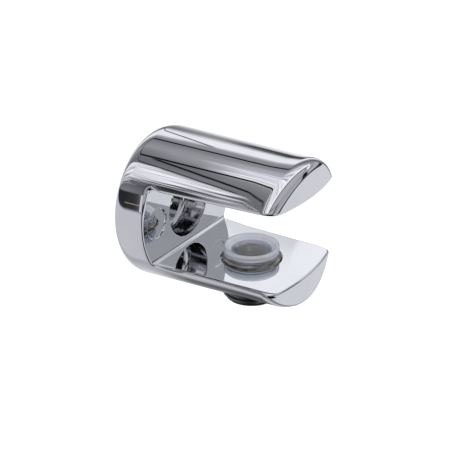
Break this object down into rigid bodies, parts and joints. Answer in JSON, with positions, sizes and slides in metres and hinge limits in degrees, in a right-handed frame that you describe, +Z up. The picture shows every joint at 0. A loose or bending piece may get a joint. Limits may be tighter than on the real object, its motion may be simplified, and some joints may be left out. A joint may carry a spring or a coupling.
{
  "type": "glass shelf bracket",
  "caption": "Round tapered wall bracket with a slot for a glass shelf, clamped by a screw in the lower jaw with a clear dished pad.",
  "frame": {"origin": "where the wall screw's axis, which is the bar's own axis, meets the wall face", "axes": "+Y into the wall, -Y out along the bracket, +Z up, +X to the right seen from the front"},
  "size_m": [0.0318, 0.0364, 0.0324],
  "materials": {
    "polished_chrome": "polished chrome plating on a zinc casting",
    "dark_screw": "dark plated steel, slightly oiled",
    "clear_pad": "clear soft plastic, glossy"
  },
  "bodies": {
    "bracket": {"bracket_body": "polished_chrome"},
    "pad": {"glass_pad": "clear_pad"},
    "screw": {"clamp_screw": "dark_screw"}
  },
  "joints": [
    {"name": "pad_lift", "type": "slide", "parent": "bracket", "child": "pad", "axis": [0, 0, 1], "range_m": [-0.002, 0.0053]},
    {"name": "screw_turn", "type": "hinge", "parent": "pad", "child": "screw", "pos_m": [0, -0.0229, -0.0121], "axis": [0, 0, 1], "range_deg": [-720, 1908]}
  ],
  "couplings": [
    {"joint": "pad_lift", "follows": "screw_turn", "m_per_rad": 0.00015915}
  ]
}
